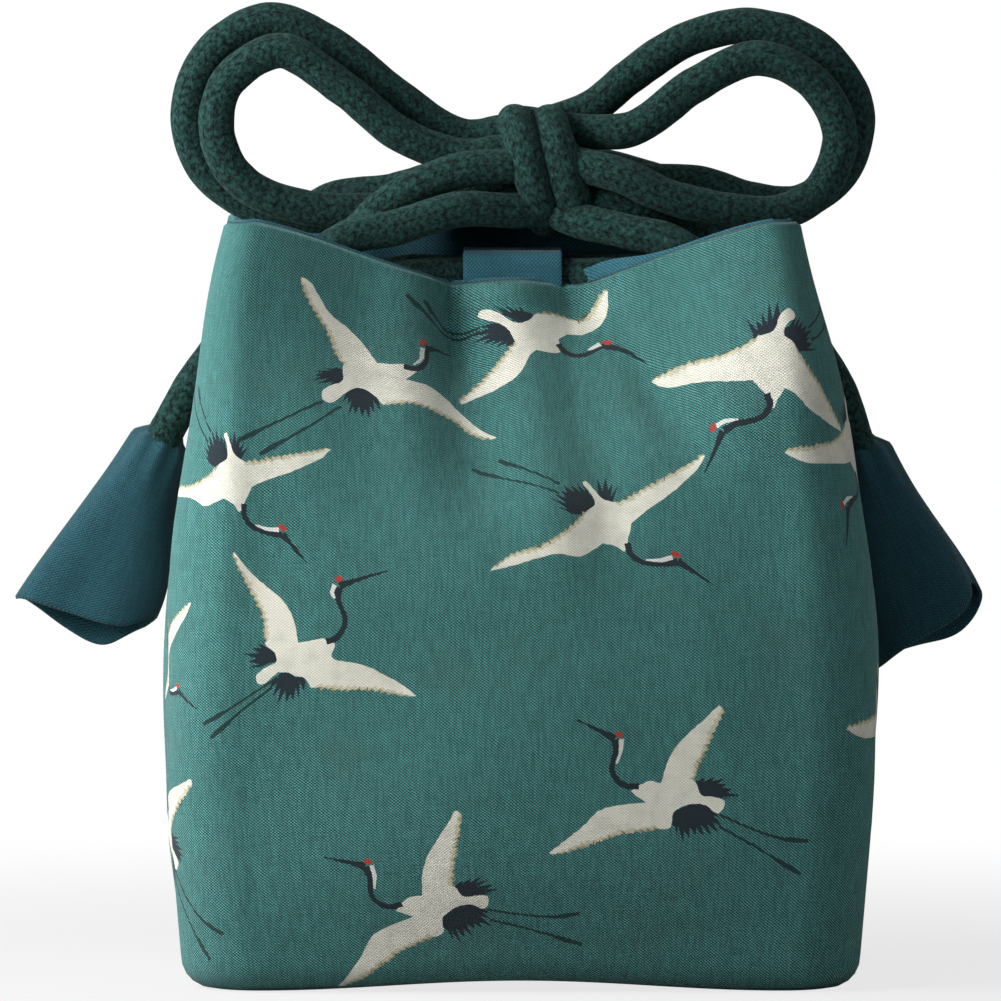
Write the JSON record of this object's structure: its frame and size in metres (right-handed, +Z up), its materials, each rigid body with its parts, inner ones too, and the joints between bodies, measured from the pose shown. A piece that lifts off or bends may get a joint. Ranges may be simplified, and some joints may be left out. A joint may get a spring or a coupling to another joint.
{
  "type": "drawstring pouch",
  "caption": "Flat-based cloth drawstring pouch with a star-gathered mouth, a lining, sewn cord loops, doubled drawcords tied in a bow and a cloth sleeve over the cord ends.",
  "frame": {"origin": "middle of the flat base, on the surface the pouch stands on", "axes": "+Z up out of the mouth, +X to the right seen from the front, front panel facing -Y"},
  "size_m": [0.2199, 0.1124, 0.218],
  "materials": {
    "outer_cloth": "printed plain weave, matte",
    "lining_cloth": "plain weave, matte",
    "cord_fibre": "soft round cord, matte",
    "sleeve_cloth": "plain weave, matte"
  },
  "bodies": {
    "root": {"outer_bag": "outer_cloth", "lining": "lining_cloth", "front_cord_loop": "lining_cloth", "back_cord_loop": "lining_cloth", "left_cord_loop": "lining_cloth", "right_cord_loop": "lining_cloth", "bow_knot": "cord_fibre", "left_cord_run": "cord_fibre", "right_cord_run": "cord_fibre", "left_ear_outer": "cord_fibre", "left_ear_inner": "cord_fibre", "right_ear_outer": "cord_fibre", "right_ear_inner": "cord_fibre", "left_tail_near": "cord_fibre", "left_tail_far": "cord_fibre", "right_tail_near": "cord_fibre", "right_tail_far": "cord_fibre", "left_sleeve": "sleeve_cloth", "right_sleeve": "sleeve_cloth"}
  },
  "joints": []
}
